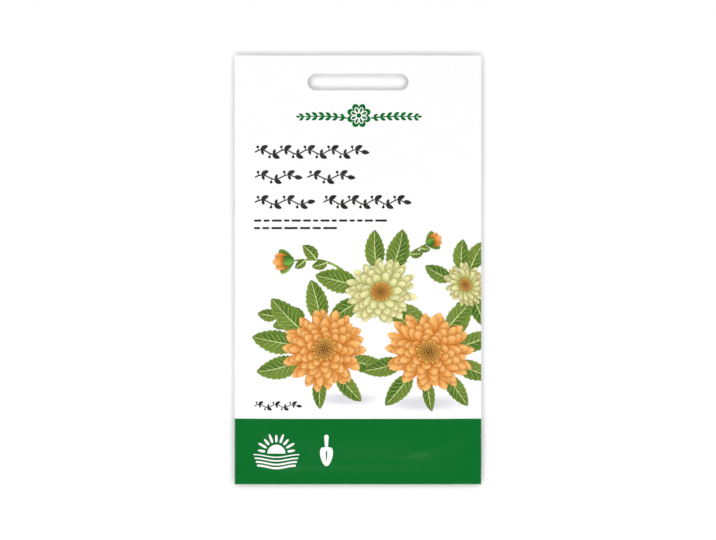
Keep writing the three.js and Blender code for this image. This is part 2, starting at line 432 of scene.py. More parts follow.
class Finish:  # one material, or the world, and its nodes
    def __init__(self, owner):
        self.owner = owner
        owner.use_nodes = True
        self.tree = owner.node_tree
        self.tree.nodes.clear()

    def node(self, kind, settings=None, inputs=None, output=0):
        made = self.tree.nodes.new(kind)
        for name, value in (settings or {}).items():
            if name == "stops":
                self.setStops(made.color_ramp, value)
            else:
                setattr(made, name, value)
        for key, value in (inputs or {}).items():
            if isinstance(value, Wire):
                self.tree.links.new(value.socket, made.inputs[key])
            else:
                made.inputs[key].default_value = value
        return Wire(self, made.outputs[output] if len(made.outputs) else None)

    def setStops(self, ramp, stops):
        while len(ramp.elements) < len(stops):
            ramp.elements.new(0.5)
        for element, (position, color) in zip(ramp.elements, stops):
            element.position = position
            element.color = color

    def place(self):
        return self.node("ShaderNodeTexCoord", output="Object")

    def attribute(self, name):
        return self.node("ShaderNodeAttribute", {"attribute_name": name}, output="Fac")

    def noise(self, scale, detail=2.0, vector=None, roughness=0.5):
        inputs = {"Vector": vector or self.place(), "Scale": scale, "Detail": detail, "Roughness": roughness}
        return self.node("ShaderNodeTexNoise", inputs=inputs)

    def vector(self, x, y, z=0.0):
        return self.node("ShaderNodeCombineXYZ", inputs={"X": x, "Y": y, "Z": z})

    def mix(self, factor, first, second):
        return self.node("ShaderNodeMix", {"data_type": "RGBA"}, {0: factor, 6: first, 7: second}, 2)

    def tinted(self, first, second):
        settings = {"data_type": "RGBA", "blend_type": "MULTIPLY"}
        return self.node("ShaderNodeMix", settings, {0: 1.0, 6: first, 7: second}, 2)

    def ramp(self, factor, *stops):
        return self.node("ShaderNodeValToRGB", {"stops": stops}, {"Fac": factor})

    def bump(self, height, distance, strength=1.0):
        inputs = {"Height": height, "Distance": distance, "Strength": strength}
        return self.node("ShaderNodeBump", inputs=inputs)

    def surface(self, **inputs):
        named = {name.replace("_", " "): value for name, value in inputs.items()}
        shader = self.node("ShaderNodeBsdfPrincipled", inputs=named)
        self.node("ShaderNodeOutputMaterial", inputs={"Surface": shader})
        return self.owner


def newFinish(name):
    return Finish(bpy.data.materials.new(name))


def colour(code):  # a web colour as linear light
    parts = [int(code[i:i + 2], 16) / 255 for i in (1, 3, 5)]
    return (*[c / 12.92 if c <= 0.04045 else ((c + 0.055) / 1.055) ** 2.4 for c in parts], 1.0)


stock = {
    "white": colour("#f1f1f1"), "shadowed": colour("#ededec"), "worn": colour("#dedbd2"),
    "green": colour("#066928"), "deepGreen": colour("#056123"),
    "dark": colour("#262524"), "grey": colour("#55534f"),
    "tooth": 0.0000035, "toothScale": 5200.0, "roughness": 0.22, "patchy": 0.06, "specular": 0.42,
}


def paperTooth(finish, strength=1.0):  # the fine grain that coated paper keeps under its print
    grain = finish.noise(stock["toothScale"], 3.0, roughness=0.6)
    cloud = finish.noise(stock["toothScale"] / 6, 2.0)
    return finish.bump(grain * 0.7 + cloud * 0.5, stock["tooth"], strength)


def coated(finish, tone, tooth=1.0, duller=0.0):  # the uneven gloss of paper and flat print
    dull = finish.noise(900.0, 3.0) * stock["patchy"]
    return finish.surface(
        Base_Color=tone, Roughness=stock["roughness"] + duller + dull,
        Specular_IOR_Level=stock["specular"], Normal=paperTooth(finish, tooth))


def printFinish(name, main, other, mottle=0.35):
    finish = newFinish(name)
    cloud = finish.noise(420.0, 4.0).ramped(0.3, 0.75)
    speck = finish.noise(2600.0, 2.0).ramped(0.62, 0.8)
    tone = finish.mix(cloud * mottle, main, other)
    tone = finish.mix(speck * (mottle * 0.5), tone, stock["white"])
    return coated(finish, tone, tooth=0.6, duller=-0.03)


def paperFinish():
    finish = newFinish("coated_paper")
    cloud = finish.noise(260.0, 5.0).ramped(0.35, 0.75)
    worn = (1 - finish.attribute("edge").ramped(0.0, 0.8)) * finish.noise(1400.0, 4.0).ramped(0.45, 0.7)
    tone = finish.mix(cloud * 0.25, stock["white"], stock["shadowed"])
    return coated(finish, finish.mix(worn * 0.4, tone, stock["worn"]))


def bandFinish():
    finish = newFinish("green_print")
    cloud = finish.noise(300.0, 5.0).ramped(0.3, 0.75)
    tone = finish.mix(cloud * 0.35, stock["green"], stock["deepGreen"])
    flecks = finish.noise(3800.0, 3.0).ramped(0.5, 0.58)
    crack = (1 - finish.attribute("edge").ramped(0.02, 0.3)) * flecks  # ink breaks along the folds
    return coated(finish, finish.mix(crack * 0.55, tone, stock["white"]), tooth=0.6, duller=-0.04)


def dress(piece, material, slot, *nodes):
    piece.data.materials.clear()
    piece.data.materials.append(material)
    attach(piece, "root")
    if nodes:
        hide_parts(*nodes)
    return piece


# the paper
ink = {"thick": 0.024, "under": 0.002, "overprint": 0.03}


def bothFaces(outer, inner):
    return outer, inner


def inkSkin(outer, inner):  # a film of ink over the printed face
    normal = (outer - inner) / paper
    return outer + normal * ink["thick"], outer + normal * ink["under"]


def foldedSheet(name, patches, skin, *trims):
    piece = addObject(name, *sewn(patches.values(), skin))
    for trim in trims:
        trim(piece)
    smoothed(warped(piece))
    setNumbers(piece, "edge", edgeDistance(piece))
    print(name + ":", len(piece.data.polygons), "faces")
    return piece


def punchSlot(piece):
    cut(piece, slotOutline(), rimHeight - 1, rimHeight + 1)


blank = foldedSheet("packet_paper", sheetPatches(halfHeight), bothFaces, trimFlaps, punchSlot)
dress(blank, paperFinish(), "paper", "paper_blank")

bandPatches = sheetPatches(packet["bandTop"])
hidden = packet["backEdge"] - packet["printOverlap"]
bandPatches["seam"] = patch([foldX, packet["backEdge"], hidden], seamRows(packet["bandTop"]), seamPoints)
dress(foldedSheet("packet_band", bandPatches, inkSkin, trimBottomFlap), bandFinish(), "green_ink")


# flat shapes of the print: each knows its outline and how far along and across it a point lies
class Blade:  # a petal, leaf or ray on a bent spine
    def __init__(self, root, heading, length, width, bend=0.0, full=0.6, blunt=0.5,
                 teeth=0, bite=0.2, steps=11):
        self.root, self.length, self.half = root, length, width / 2
        self.bend = bend if abs(bend) > 1e-3 else 1e-3
        self.blunt, self.teeth, self.bite, self.steps = blunt, teeth, bite, steps
        self.ahead = (math.cos(heading), math.sin(heading))
        self.power = math.log(0.5) / math.log(full)  # puts the widest place at the share full of its length

    def halfWidth(self, t):
        t = np.clip(t, 1e-6, 1 - 1e-6)
        return self.half * np.sin(np.pi * t ** self.power) ** self.blunt

    def place(self, t, aside):
        radius = self.length / self.bend
        u = (radius - aside) * math.sin(t * self.bend)
        v = radius - (radius - aside) * math.cos(t * self.bend)
        ahead = self.ahead
        return self.root[0] + u * ahead[0] - v * ahead[1], self.root[1] + u * ahead[1] + v * ahead[0]

    def edge(self, side):
        if not self.teeth:
            ts = [i / self.steps for i in range(1, self.steps)]
            return [self.place(t, side * float(self.halfWidth(t))) for t in ts]
        points = []
        for i in range(self.teeth):
            for part, reach in ((0.12, 1.0), (0.86, 1 + self.bite)):
                t = (i + part) / self.teeth
                aside = side * float(self.halfWidth(t)) * reach
                points.append(self.place(min(t + 0.02 * reach, 0.985), aside))
        return points

    def outline(self):
        return [self.place(0, 0), *self.edge(-1), self.place(1, 0), *self.edge(1)[::-1]]

    def measure(self, x, y):
        dx, dy = x - self.root[0], y - self.root[1]
        u = dx * self.ahead[0] + dy * self.ahead[1]
        v = dy * self.ahead[0] - dx * self.ahead[1]
        radius = self.length / self.bend
        way = math.copysign(1, radius)
        t = np.arctan2(way * u, way * (radius - v)) / self.bend
        aside = radius - way * np.hypot(u, radius - v)
        return t, aside / (self.halfWidth(t) + 1e-3)


class Disc:
    def __init__(self, centre, radius, sides=24, wave=0.0, waves=0, flat=1.0):
        self.centre, self.radius, self.sides = centre, radius, sides
        self.wave, self.waves, self.flat = wave, waves, flat

    def outline(self):
        found = []
        for i in range(self.sides):
            turn = 2 * math.pi * i / self.sides
            reach = self.radius * (1 + self.wave * math.cos(self.waves * turn))
            x, y = reach * math.cos(turn), self.flat * reach * math.sin(turn)
            found.append((self.centre[0] + x, self.centre[1] + y))
        return found

    def measure(self, x, y):
        dx, dy = x - self.centre[0], (y - self.centre[1]) / self.flat
        return np.hypot(dx, dy) / self.radius, np.arctan2(dy, dx) / np.pi


class Stroke:  # a line of changing width with round ends
    def __init__(self, points, start, end=None):
        self.points = np.asarray(points, float)
        self.halves = np.linspace(start, start if end is None else end, len(points)) / 2

    def outline(self):
        ahead = np.gradient(self.points, axis=0)
        ahead /= np.hypot(*ahead.T)[:, None]
        aside = np.stack([-ahead[:, 1], ahead[:, 0]], 1) * self.halves[:, None]
        caps = []
        for end, way in ((-1, 1), (0, -1)):
            cap = []
            for turn in (-60, -30, 0, 30, 60):
                a = math.radians(turn)
                push = way * ahead[end] * math.cos(a) * self.halves[end]
                cap.append(self.points[end] + push + way * aside[end] * math.sin(a))
            caps.append(cap)
        right, left = self.points - aside, self.points + aside
        return [tuple(p) for p in [*right, *caps[0], *left[::-1], *caps[1]]]

    def measure(self, x, y):
        gaps = np.hypot(x[:, None] - self.points[:, 0], y[:, None] - self.points[:, 1])
        near = gaps.argmin(1)
        return near / (len(self.points) - 1), gaps.min(1) / self.halves[near]


class Turned:  # a shape seen at a slant: squeezed across one direction about a point
    def __init__(self, shape, about, heading, squeeze):
        self.shape, self.about = shape, np.asarray(about, float)
        axis = np.array([math.cos(heading), math.sin(heading)])
        self.matrix = np.eye(2) - (1 - squeeze) * np.outer(axis, axis)
        self.back = np.linalg.inv(self.matrix)

    def outline(self):
        points = (np.asarray(self.shape.outline()) - self.about) @ self.matrix.T + self.about
        return [tuple(p) for p in points]

    def measure(self, x, y):
        points = (np.stack([x, y], 1) - self.about) @ self.back.T + self.about
        return self.shape.measure(points[:, 0], points[:, 1])


class Outline:  # any closed outline
    def __init__(self, points):
        self.points = points

    def outline(self):
        return self.points

    def measure(self, x, y):
        return 0 * x, 0 * y


class Artwork:  # shapes printed on one face of the paper, where a later shape covers an earlier one
    def __init__(self, height, side=1, spacing=1.2, lift=0.0, breaks=()):
        self.height, self.side, self.spacing, self.lift = height, side, spacing, lift
        self.breaks = breaks  # where the paper bends, the last one where the print ends
        self.shapes = []

    def add(self, group, shape, seed=0.0):
        self.shapes.append((group, shape, seed))

    def trimmed(self, outline):  # adds points where the paper bends, and drops what lies past the last bend
        if not self.breaks:
            return outline
        kept = []
        for (ax, ay), (bx, by) in zip(outline, outline[1:] + outline[:1]):
            if ax <= self.breaks[-1]:
                kept.append((ax, ay))
            crossed = [x for x in self.breaks if (ax - x) * (bx - x) < 0]
            for x in sorted(crossed, reverse=bool(ax > bx)):
                kept.append((x, ay + (by - ay) * (x - ax) / (bx - ax)))
        return kept

    def stepped(self, outline):  # long sides get more points, so that the film follows the paper
        found = []
        for a, b in zip(outline, outline[1:] + outline[:1]):
            count = max(1, math.ceil(math.dist(a, b) / self.spacing))
            for i in range(count):
                found.append((a[0] + (b[0] - a[0]) * i / count, a[1] + (b[1] - a[1]) * i / count))
        return found

    def triangles(self):  # points, triangles and the topmost shape of each
        points, outlines, kept = [], [], []
        for entry in self.shapes:
            outline = self.trimmed(entry[1].outline())
            if len(outline) < 3:
                continue
            outline = self.stepped(outline)
            kept.append(entry)
            outlines.append(list(range(len(points), len(points) + len(outline))))
            points += outline
        self.shapes = kept
        low, high = np.min(points, 0), np.max(points, 0)
        step = self.spacing
        grid = []  # rows of points, every second row shifted
        for j, y in enumerate(np.arange(low[1] + step / 2, high[1], step * 0.87)):
            grid += [(x, y) for x in np.arange(low[0] + step * (0.3 + j % 2 / 2), high[0], step)]
        for x in self.breaks:
            grid += [(x, y) for y in np.arange(low[1], high[1], step / 2)]
        spots = [Vector(p) for p in [*points, *grid]]
        found = delaunay_2d_cdt(spots, [], outlines, 0, 1e-5, True)  # and which shapes each triangle is in
        flat = np.array([tuple(v) for v in found[0]])
        tops = [max(owners) if owners else -1 for owners in found[5]]
        triangles = [(tuple(face), top) for face, top in zip(found[2], tops) if top >= 0]
        return flat, triangles

    def shadows(self, flat, triangles):  # how deep each corner lies beside the shapes that cover its own
        border = [(*spot, index) for index, entry in enumerate(self.shapes) for spot in entry[1].outline()]
        tree = KDTree(len(border))
        for i, (x, y, index) in enumerate(border):
            tree.insert((x, y, 0), i)
        tree.balance()
        reach = picture["shadowReach"]
        known = {}
        for corner, top in {(corner, top) for face, top in triangles for corner in face}:
            near = tree.find_range((*flat[corner], 0), reach)
            gaps = [gap for spot, i, gap in near if border[i][2] > top]
            known[corner, top] = 1 - min(gaps) / reach if gaps else 0.0
        return known

    def build(self, name, finishes, shaded=False):
        flat, triangles = self.triangles()
        shade = self.shadows(flat, triangles) if shaded else {}
        measures = {}
        for index, (group, shape, seed) in enumerate(self.shapes):
            corners = sorted({c for face, top in triangles if top == index for c in face})
            if corners:
                along, across = shape.measure(flat[corners, 0], flat[corners, 1])
                for c, a, b in zip(corners, along, across):
                    measures[c, index] = (float(a), float(b), seed, shade.get((c, index), 0.0))
        for group, (material, slot) in finishes.items():
            chosen = [(face, top) for face, top in triangles if self.shapes[top][0] == group]
            if chosen:
                piece = self.film(f"{name}_{group}", flat, chosen, measures)
                dress(piece, material, slot)
        print(name + ":", len(self.shapes), "shapes,", len(triangles), "triangles")

    def film(self, name, flat, chosen, measures):
        used = sorted({c for face, top in chosen for c in face})
        place = {c: i for i, c in enumerate(used)}
        x, y = self.side * flat[used, 0], flat[used, 1]
        face = self.height(x, y)
        outer = np.stack([x, y, face + self.side * (self.lift + ink["thick"])], 1)
        inner = np.stack([x, y, face + self.side * (self.lift + ink["under"])], 1)
        n = len(used)
        faces, corners = [], []
        for triangle, top in chosen:
            faces += [tuple(place[c] for c in triangle), tuple(place[c] + n for c in reversed(triangle))]
            corners += [measures[c, top] for c in triangle] + [measures[c, top] for c in reversed(triangle)]
        for (a, b), number in openEdges([triangle for triangle, top in chosen]).items():
            faces.append((place[b], place[a], place[a] + n, place[b] + n))
            corners += [measures[c, chosen[number][1]] for c in (b, a, a, b)]
        piece = addObject(name, np.concatenate([outer, inner]), faces)
        for column, label in enumerate(("along", "across", "seed", "shade")):
            setNumbers(piece, label, [c[column] for c in corners], "CORNER")
        return piece


def frontSkin(x, y):  # the front, and round the side fold where a picture runs off the panel
    outside = foldRadius + paper / 2
    past = np.clip(np.abs(x) - foldX, 0, outside)
    return frontFace(np.clip(x, -foldX, foldX), y) + np.sqrt(outside ** 2 - past ** 2) - outside


# rows of ornament and of fine print
ornament = {  # a leaf's heading is in degrees, its place a share of a wave past the crest
    "stem": 0.5, "wave": 8.6, "swing": 0.78, "ends": (0.5, 2.6),
    "stalk": 1.25, "stalkAt": -0.13, "berry": 0.5,
    "leaf": {"size": (3.0, 1.6), "heading": 42, "at": -0.02, "bend": -0.5},
    "leaflet": {"size": (1.9, 1.05), "heading": -84, "at": 0.03, "bend": 0.4},
    "endLeaf": {"size": (3.0, 1.6), "heading": 8, "at": -0.02, "bend": 0.0},
    "words": (2.0, 5.4), "gap": 0.75,
}


def growVine(art, group, x0, x1, y, size=1.0):  # a waving stem with leaves and berries on both sides
    stem, swing, reach = (ornament[name] * size for name in ("stem", "swing", "stalk"))
    start, end = x0 + ornament["ends"][0] * size, x1 - ornament["ends"][1] * size
    turns = max(1, round(2 * (end - start) / (ornament["wave"] * size)))
    wave = 2 * (end - start) / turns

    def at(x):
        return x, y + swing * math.sin(2 * math.pi * (x - start) / wave)

    def sprout(x, side, leaf):
        length, width = (m * size for m in leaf["size"])
        heading, bend = side * math.radians(leaf["heading"]), side * leaf["bend"]
        root = at(x + leaf["at"] * wave)
        art.add(group, Blade(root, heading, length, width, bend, full=0.45, blunt=0.75, steps=9))
    art.add(group, Stroke([at(x) for x in np.linspace(start, end, turns * 8 + 1)], stem, stem * 0.8))
    for k in range(turns):
        side = 1 if k % 2 == 0 else -1
        crest = start + (k + 0.5) * wave / 2
        sprout(crest, side, ornament["leaf"])
        sprout(crest, side, ornament["leaflet"])
        root = at(crest + ornament["stalkAt"] * wave)
        bow = [(s, 0.12 * s - 0.25 * s * s) for s in (0, 0.5, 1)]
        stalk = [(root[0] + reach * aside, root[1] + side * reach * s) for s, aside in bow]
        art.add(group, Stroke(stalk, stem * 0.6))
        art.add(group, Disc(stalk[-1], ornament["berry"] * size, 14))
    sprout(end, 1 if turns % 2 == 0 else -1, ornament["endLeaf"])


def drawRow(art, group, x0, x1, y, thick, draw):  # a line of fine print, as bars of a word's length
    words = []
    while sum(words) + ornament["gap"] * len(words) < x1 - x0:
        words.append(draw.uniform(*ornament["words"]))
    share = (x1 - x0 - ornament["gap"] * (len(words) - 1)) / sum(words)
    x = x0
    for word in words:
        end = x + word * share
        art.add(group, Stroke([(x + thick / 2, y), ((x + end) / 2, y), (end - thick / 2, y)], thick))
        x = end + ornament["gap"]


garland = {  # lengths are shares of the garland's height
    "stem": (0.58, 0.3), "leaves": 7, "leafTurn": 46, "petals": 8,
    "rings": (  # inked, from, to and width
        (True, 0.12, 0.5, 0.27), (False, 0.1, 0.36, 0.17), (True, 0.1, 0.33, 0.09)),
    "heart": ((False, 0.13), (True, 0.095)),  # inked, radius
    "leaf": (0.19, 0.1, 0.42), "leafBend": 0.5, "tipTurn": 0.15, "tip": (0.2, 0.09),
}


def drawGarland(art, group, x, y, reach, height):  # a flower between two leafy sprigs
    least, more, wide = garland["leaf"]
    for side in (-1, 1):
        span = reach - height * 0.56
        path = []
        for s in np.linspace(0, 1, 28):
            path.append((x + side * (height * 0.5 + span * s), y - height * (0.1 - 0.24 * s + 0.2 * s * s)))
        art.add(group, Stroke(path, *garland["stem"]))
        for i in range(garland["leaves"]):
            near, following = path[4 * i + 1], path[4 * i + 2]
            slope = math.atan2(following[1] - near[1], side * (following[0] - near[0]))
            length = height * (least + more * math.sin(math.pi * (0.2 + 0.1 * i)))
            for way in (-1, 1):
                heading = slope + way * math.radians(garland["leafTurn"])
                heading = heading if side > 0 else math.pi - heading
                bend = -way * side * garland["leafBend"]
                art.add(group, Blade(near, heading, length, length * wide, bend, full=0.55, blunt=0.9))
        tip = garland["tipTurn"] if side > 0 else math.pi - garland["tipTurn"]
        length, width = (height * share for share in garland["tip"])
        art.add(group, Blade(path[-1], tip, length, width, full=0.5, blunt=0.8))
    for inked, inner, outer, width in garland["rings"]:
        for i in range(garland["petals"]):
            heading = (i + 0.5) * 2 * math.pi / garland["petals"]
            root = (x + inner * height * math.cos(heading), y + inner * height * math.sin(heading))
            petal = Blade(root, heading, height * (outer - inner), height * width, full=0.62, blunt=0.6)
            art.add(group if inked else "gap", petal)
    for inked, radius in garland["heart"]:
        art.add(group if inked else "gap", Disc((x, y), height * radius, 24))


# what is printed on the front, in millimetres from the middle of the panel
layout = {
    "garland": {"x": 0.35, "y": 57.6, "reach": 22.3, "height": 9.3},
    "titles": (  # start, end and middle of each ornament row
        (-38.8, 4.1, 44.0), (-38.8, -20.8, 34.6), (-19.2, -1.1, 34.6),
        (-38.8, -16.0, 25.3), (-13.2, 19.8, 25.3),
    ),
    "fine": ((-38.8, 10.8, 18.4, 0.8), (-38.8, -7.8, 15.6, 0.8)),
    "caption": (-38.8, -20.9, -50.6), "titleSize": 1.06, "captionSize": 0.7,
    "sun": {"x": -30.4, "y": -67.2, "width": 16.8, "height": 11.9, "rays": 9, "furrows": 4},
    "trowel": {"x": -11.75, "y": -67.2, "width": 7.9, "height": 11.9},
}


def drawFront():
    draw = random.Random(7)
    art = Artwork(frontFace)
    drawGarland(art, "green", **layout["garland"])
    for x0, x1, y in layout["titles"]:
        growVine(art, "dark", x0, x1, y, layout["titleSize"])
    for x0, x1, y, thick in layout["fine"]:
        drawRow(art, "dark", x0, x1, y, thick, draw)
    x0, x1, y = layout["caption"]
    growVine(art, "dark", x0, x1, y, layout["captionSize"])
    return art


def drawBandMarks():  # a rising sun over furrows, and a trowel, left white in the band
    art = Artwork(frontFace, lift=ink["overprint"], spacing=1.0)
    x, y, width, height, rays, furrows = layout["sun"].values()
    ground = y - height * 0.1
    radius = width * 0.2
    half = [(x + radius * math.cos(a), ground + radius * math.sin(a)) for a in np.linspace(0, math.pi, 24)]
    art.add("white", Outline(half))
    for i in range(rays):
        heading = math.pi * (i + 0.5) / rays
        root = (x + width * 0.25 * math.cos(heading), ground + width * 0.25 * math.sin(heading))
        length = height * (0.3 if i % 2 else 0.24)
        art.add("white", Blade(root, heading, length, 0.95, full=0.4, blunt=0.35, steps=24))
    for k in range(furrows):
        reach = width * (0.5 - 0.03 * k)
        drop = ground - height * (0.075 + 0.115 * k)
        furrow = [(x + reach * s, drop - 0.5 * math.cos(math.pi * s)) for s in np.linspace(-1, 1, 18)]
        art.add("white", Stroke(furrow, 0.42 + 0.12 * k))
    x, y, width, height = layout["trowel"].values()
    top, bottom = y + height / 2, y - height / 2
    shoulder = (x, y + height * 0.12)
    art.add("white", Stroke([(x, top - 0.9), (x, top - 2.2), (x, y + height * 0.16)], 1.7, 1.25))
    art.add("white", Stroke([(x, y + height * 0.2), (x, y + height * 0.1), (x, y)], 0.6))
    length = shoulder[1] - bottom
    art.add("white", Blade(shoulder, -math.pi / 2, length, width * 0.62, full=0.3, blunt=0.5, steps=18))
    art.add("green", Blade((x, y), -math.pi / 2, height * 0.34, 0.55, full=0.3, blunt=0.6))  # its crease
    return art


# the printed back
backside = {
    "garland": {"x": 0.0, "y": 52.0, "reach": 20.0, "height": 8.0},
    "months": 12, "strip": (-37.0, 37.0, 30.0), "cell": 5.2, "rule": 0.18,
    "bars": (("green", 2, 5), ("orange", 4, 6), ("dark", 6, 10)),  # ink, first and last month line
    "barTop": 0.2, "barPitch": 0.27, "bar": 0.19, "number": 0.8, "numberRise": 0.22,  # shares of a cell
    "blocks": ((18.0, 5), (-7.0, 6), (-33.0, 7)),  # top and number of lines
    "indent": 15.0, "leading": 2.5, "print": 0.8, "lastEnds": (0, 20),
    "mark": 4.4, "markAt": 4.5, "petals": 5, "petal": (3.4, 1.7),
}


def drawBack():
    draw = random.Random(19)
    art = Artwork(backFace, side=-1)
    drawGarland(art, "green", **backside["garland"])
    x0, x1, y = backside["strip"]
    pitch = (x1 - x0) / backside["months"]
    cell, rule = backside["cell"], backside["rule"]
    for i in range(backside["months"] + 1):
        x = x0 + i * pitch
        art.add("dark", Stroke([(x, y - cell), (x, y), (x, y + cell)], rule))
    for level in (-cell, 0.0, cell):
        art.add("dark", Stroke([(x, y + level) for x in np.linspace(x0, x1, 8)], rule))
    for row, (group, first, last) in enumerate(backside["bars"]):
        level = y - cell * (backside["barTop"] + backside["barPitch"] * row)
        bar = [(x0 + (first + s * (last - first)) * pitch, level) for s in (0, 0.5, 1)]
        art.add(group, Stroke(bar, cell * backside["bar"]))
    for top, count in backside["blocks"]:
        mark = (x0 + backside["markAt"], top - backside["markAt"])
        art.add("green", Disc(mark, backside["mark"], 40))
        for i in range(backside["petals"]):
            heading = math.radians(90 + 360 / backside["petals"] * i)
            art.add("gap", Blade(mark, heading, *backside["petal"], full=0.62))
        for i in range(count):
            end = x1 if i < count - 1 else draw.uniform(*backside["lastEnds"])
            line = top - i * backside["leading"]
            drawRow(art, "dark", x0 + backside["indent"], end, line, backside["print"], draw)
    return art


def printNumbers():  # the months' numbers over their cells
    x0, x1, y = backside["strip"]
    pitch = (x1 - x0) / backside["months"]
    corners, faces = [], []
    for month in range(backside["months"]):
        text = bpy.data.curves.new("number", "FONT")
        text.body = str(month + 1)
        text.size = backside["cell"] * backside["number"]
        text.align_x = "CENTER"
        text.resolution_u = 3
        holder = bpy.data.objects.new("number", text)
        bpy.context.scene.collection.objects.link(holder)
        graph = bpy.context.evaluated_depsgraph_get()
        mesh = bpy.data.meshes.new_from_object(holder.evaluated_get(graph))
        mesh.calc_loop_triangles()
        first = len(corners)
        middle = x0 + (month + 0.5) * pitch
        rise = backside["cell"] * backside["numberRise"]
        corners += [(v.co.x + middle, v.co.y + y + rise) for v in mesh.vertices]
        for triangle in mesh.loop_triangles:
            a, b, c = (i + first for i in triangle.vertices)
            faces.append((a, b, c) if triangle.normal.z > 0 else (a, c, b))
        bpy.data.objects.remove(holder)
    return np.array(corners), [(face, 0) for face in faces]


# the picture: garden flowers and their leaves
picture = {
    "shadowReach": 1.7, "spacing": 0.8, "bends": (0.0, 0.5, 0.8, 0.94),  # bends are shares of the side fold
    "shades": (((-4, -48), 15.5), ((25, -49.5), 19)),
    "blooms": [  # its lean is a heading, and each of its leaves has a heading in degrees and a length
        {"at": (8.5, -8.0), "radius": 14.0, "squeeze": 0.9, "lean": 1.9, "group": "pale", "rings": 4,
         "leaves": ((64, 12.0), (100, 10.5), (166, 12.5), (205, 10.0), (322, 10.0))},
        {"at": (40.0, -5.5), "radius": 9.0, "squeeze": 0.86, "lean": 0.6, "group": "pale", "rings": 3,
         "leaves": ((72, 9.5), (101, 9.0), (160, 8.5), (262, 9.5), (300, 9.0))},
        {"at": (-12.5, -29.5), "radius": 16.5, "squeeze": 0.93, "lean": 2.4, "group": "orange", "rings": 5,
         "leaves": ((98, 11.5), (140, 12.5), (172, 12.5), (205, 12.0), (262, 7.5), (300, 9.0), (338, 9.5))},
        {"at": (26.5, -30.5), "radius": 17.5, "squeeze": 0.88, "lean": 1.2, "group": "orange", "rings": 5,
         "leaves": ((10, 10.0), (52, 10.0), (128, 9.0), (200, 10.0), (232, 10.0), (268, 6.5), (306, 9.0),
                    (336, 10.0))},
    ],
    "petals": (19, 19, 15, 12, 9), "reaches": (1.0, 0.86, 0.71, 0.56, 0.43), "heart": 0.27, "florets": 90,
    "overlap": 2.5, "petalWidth": 0.62, "petalTurn": 0.14, "petalLength": (0.93, 1.03), "petalBend": 0.3,
    "collar": {"root": 0.6, "hidden": 0.3, "width": 0.66, "bend": 0.45},
    "budPetals": (-0.5, 0.5, -0.24, 0.24, 0.0), "budSepals": (-0.75, 0.75, -0.3, 0.3),  # how far each leans
    "sprays": [  # each leaf has its place along the stem, its side and its length
        {"start": (0, -6), "end": (-24.0, 3.5), "sag": 0.16, "bud": 8.0,
         "leaves": ((0.55, 1, 6.0), (0.68, -1, 7.5), (0.84, 1, 5.0))},
        {"start": (14, -4), "end": (25.5, 9.6), "sag": -0.14, "bud": 6.4,
         "leaves": ((0.62, -1, 5.0), (0.82, -1, 4.2))},
        {"start": (-16, -36), "end": (-30.0, -17.5), "sag": 0.3, "bud": 0,
         "leaves": ((0.7, -1, 6.5), (0.84, 1, 7.0), (0.98, 0, 7.5))},
    ],
    "stem": (1.1, 0.6), "rib": (0.62, 0.14), "vein": (0.26, 0.08), "toothPitch": 1.9,
    "plain": (1.0, 1.0, 1.0, 1.0), "dusk": colour("#a8886e"), "glow": colour("#ffdd9e"),
    "shadow": colour("#b9b7c2"),
}


def growBloom(art, bloom, draw):
    at, radius = bloom["at"], bloom["radius"]
    aside, most = picture["petalTurn"], picture["petalBend"]

    def add(group, shape, seed):
        art.add(group, Turned(shape, at, bloom["lean"], bloom["squeeze"]), seed)
    for count, reach in list(zip(picture["petals"], picture["reaches"]))[:bloom["rings"]]:
        start = draw.uniform(0, 6)
        width = picture["overlap"] * math.pi * radius * reach / count * picture["petalWidth"]
        for i in range(count):
            heading = start + (i + draw.uniform(-aside, aside)) * 2 * math.pi / count
            length = radius * reach * draw.uniform(*picture["petalLength"])
            bend = draw.uniform(-most, most)
            add(bloom["group"], Blade(at, heading, length, width, bend, full=0.66, blunt=0.5), draw.random())
    core = radius * picture["heart"]
    add("heart", Disc(at, core, 40, wave=0.03, waves=17), 0.5)
    for i in range(picture["florets"]):
        share = math.sqrt((i + 0.5) / picture["florets"])
        turn = i * math.pi * (3 - math.sqrt(5))  # the golden angle
        spot = (at[0] + core * share * math.cos(turn), at[1] + core * share * math.sin(turn))
        add("floret", Disc(spot, core * (0.055 + 0.05 * share), 7), share)


def growLeaf(art, root, heading, length, width, bend, draw):
    teeth = max(5, round(length / picture["toothPitch"]))
    leaf = Blade(root, heading, length, width, bend, full=0.42, blunt=0.72, teeth=teeth, bite=0.13)
    art.add("leaf", leaf, draw.random())
    for i in range(1, teeth - 1):
        t = i / teeth
        for side in (-1, 1):
            reach = 0.86 * float(leaf.halfWidth(min(t + 0.2, 0.98)))
            vein = [leaf.place(t + 0.19 * s ** 0.8, side * reach * s) for s in np.linspace(0.02, 1, 6)]
            art.add("vein", Stroke(vein, *picture["vein"]), draw.random())
    rib = [leaf.place(t, 0) for t in np.linspace(0.0, 0.97, 16)]
    art.add("vein", Stroke(rib, *picture["rib"]), draw.random())


def growCollar(art, bloom, draw):  # the leaves behind a bloom
    (x, y), radius, collar = bloom["at"], bloom["radius"], picture["collar"]
    for heading, length in bloom["leaves"]:
        turn = math.radians(heading)
        away = collar["root"] * radius
        root = (x + away * math.cos(turn), y + away * math.sin(turn))
        whole, width = length + collar["hidden"] * radius, length * collar["width"]
        growLeaf(art, root, turn, whole, width, draw.uniform(-collar["bend"], collar["bend"]), draw)


def growBud(art, at, heading, size, draw):
    for turn in picture["budPetals"]:
        group = "orange" if abs(turn) < 0.4 else "stem"
        length = size * (1.0 - abs(turn) * 0.3)
        art.add(group, Blade(at, heading + turn, length, size * 0.42, turn, full=0.55), draw.random())
    for turn in picture["budSepals"]:
        art.add("sepal", Blade(at, heading + turn, size * 0.52, size * 0.26, -turn, full=0.4), draw.random())


